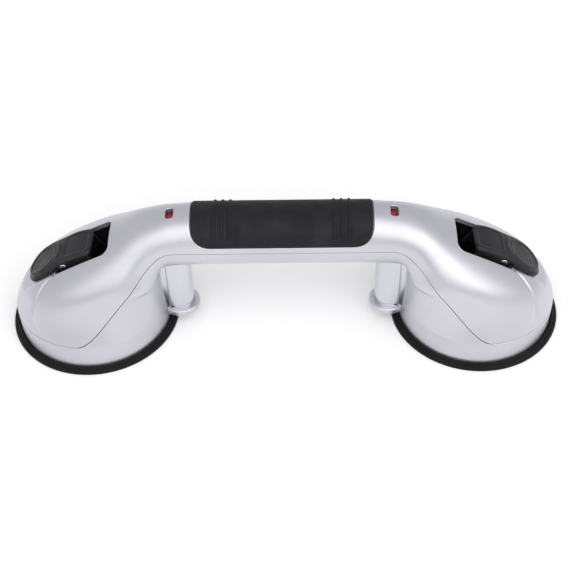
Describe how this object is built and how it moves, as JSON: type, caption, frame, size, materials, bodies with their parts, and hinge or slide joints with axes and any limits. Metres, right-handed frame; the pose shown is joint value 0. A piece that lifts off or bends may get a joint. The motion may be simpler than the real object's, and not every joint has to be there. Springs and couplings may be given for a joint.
{
  "type": "suction grab bar",
  "caption": "Chromed grab bar with a black rubber grip, held to a smooth wall by a suction cup under each domed end, each drawn tight by a rocking lever.",
  "frame": {"origin": "middle of the object's footprint on the wall plane, half way between the suction cups", "axes": "+X along the bar to the right, +Y up the wall, +Z out from the wall"},
  "size_m": [0.305, 0.093, 0.0784],
  "materials": {
    "chrome_plate": "bright chrome plating on moulded plastic",
    "grip_rubber": "matte black rubber, finely grained",
    "cup_rubber": "smooth black rubber",
    "lever_plastic": "satin black moulded plastic",
    "frame_plastic": "matte black moulded plastic",
    "steel": "bright drawn steel",
    "zinc_screw": "zinc-plated steel",
    "white_acetal": "plain white acetal",
    "flag_red": "glossy red and green moulding",
    "lens_clear": "clear acrylic"
  },
  "bodies": {
    "root": {"upper_shell": "chrome_plate", "lower_shell": "chrome_plate", "grip_pad": "grip_rubber", "shell_screws": "zinc_screw", "left_lever_frame": "frame_plastic", "left_frame_screws": "zinc_screw", "left_suction_cup": "cup_rubber", "left_foot_collar": "chrome_plate", "left_plunger_spring": "steel", "left_flag_pin": "steel", "left_window_lens": "lens_clear", "right_lever_frame": "frame_plastic", "right_frame_screws": "zinc_screw", "right_suction_cup": "cup_rubber", "right_foot_collar": "chrome_plate", "right_plunger_spring": "steel", "right_flag_pin": "steel", "right_window_lens": "lens_clear"},
    "left_lever": {"left_lever": "lever_plastic", "left_lever_pin": "steel"},
    "left_stud": {"left_cup_stud": "steel", "left_cam_pin": "steel", "left_pressure_plate": "steel"},
    "left_plunger": {"left_indicator_plunger": "white_acetal"},
    "left_flag": {"left_indicator_flag": "flag_red"},
    "right_lever": {"right_lever": "lever_plastic", "right_lever_pin": "steel"},
    "right_stud": {"right_cup_stud": "steel", "right_cam_pin": "steel", "right_pressure_plate": "steel"},
    "right_plunger": {"right_indicator_plunger": "white_acetal"},
    "right_flag": {"right_indicator_flag": "flag_red"}
  },
  "joints": [
    {"name": "left_lever_hinge", "type": "hinge", "parent": "root", "child": "left_lever", "pos_m": [-0.1168, 0, 0.0457], "axis": [0, 1, 0], "range_deg": [0, 45]},
    {"name": "left_stud_slide", "type": "slide", "parent": "root", "child": "left_stud", "axis": [0, 0, -1], "range_m": [0, 0.004], "deforming": ["left_suction_cup"]},
    {"name": "left_plunger_slide", "type": "slide", "parent": "root", "child": "left_plunger", "axis": [0, 0, 1], "range_m": [0, 0.004], "stiffness_N_per_m": 300, "springref_m": -0.002, "deforming": ["left_plunger_spring"]},
    {"name": "left_flag_hinge", "type": "hinge", "parent": "root", "child": "left_flag", "pos_m": [-0.0583, 0, 0.064], "axis": [0, -1, 0], "range_deg": [0, 40]},
    {"name": "right_lever_hinge", "type": "hinge", "parent": "root", "child": "right_lever", "pos_m": [0.1168, 0, 0.0457], "axis": [0, -1, 0], "range_deg": [0, 45]},
    {"name": "right_stud_slide", "type": "slide", "parent": "root", "child": "right_stud", "axis": [0, 0, -1], "range_m": [0, 0.004], "deforming": ["right_suction_cup"]},
    {"name": "right_plunger_slide", "type": "slide", "parent": "root", "child": "right_plunger", "axis": [0, 0, 1], "range_m": [0, 0.004], "stiffness_N_per_m": 300, "springref_m": -0.002, "deforming": ["right_plunger_spring"]},
    {"name": "right_flag_hinge", "type": "hinge", "parent": "root", "child": "right_flag", "pos_m": [0.0583, 0, 0.064], "axis": [0, 1, 0], "range_deg": [0, 40]}
  ],
  "couplings": [
    {"joint": "left_lever_hinge", "follows": "left_stud_slide", "rad_per_m": 196.35},
    {"joint": "left_flag_hinge", "follows": "left_plunger_slide", "rad_per_m": 174.53},
    {"joint": "right_lever_hinge", "follows": "right_stud_slide", "rad_per_m": 196.35},
    {"joint": "right_flag_hinge", "follows": "right_plunger_slide", "rad_per_m": 174.53}
  ]
}
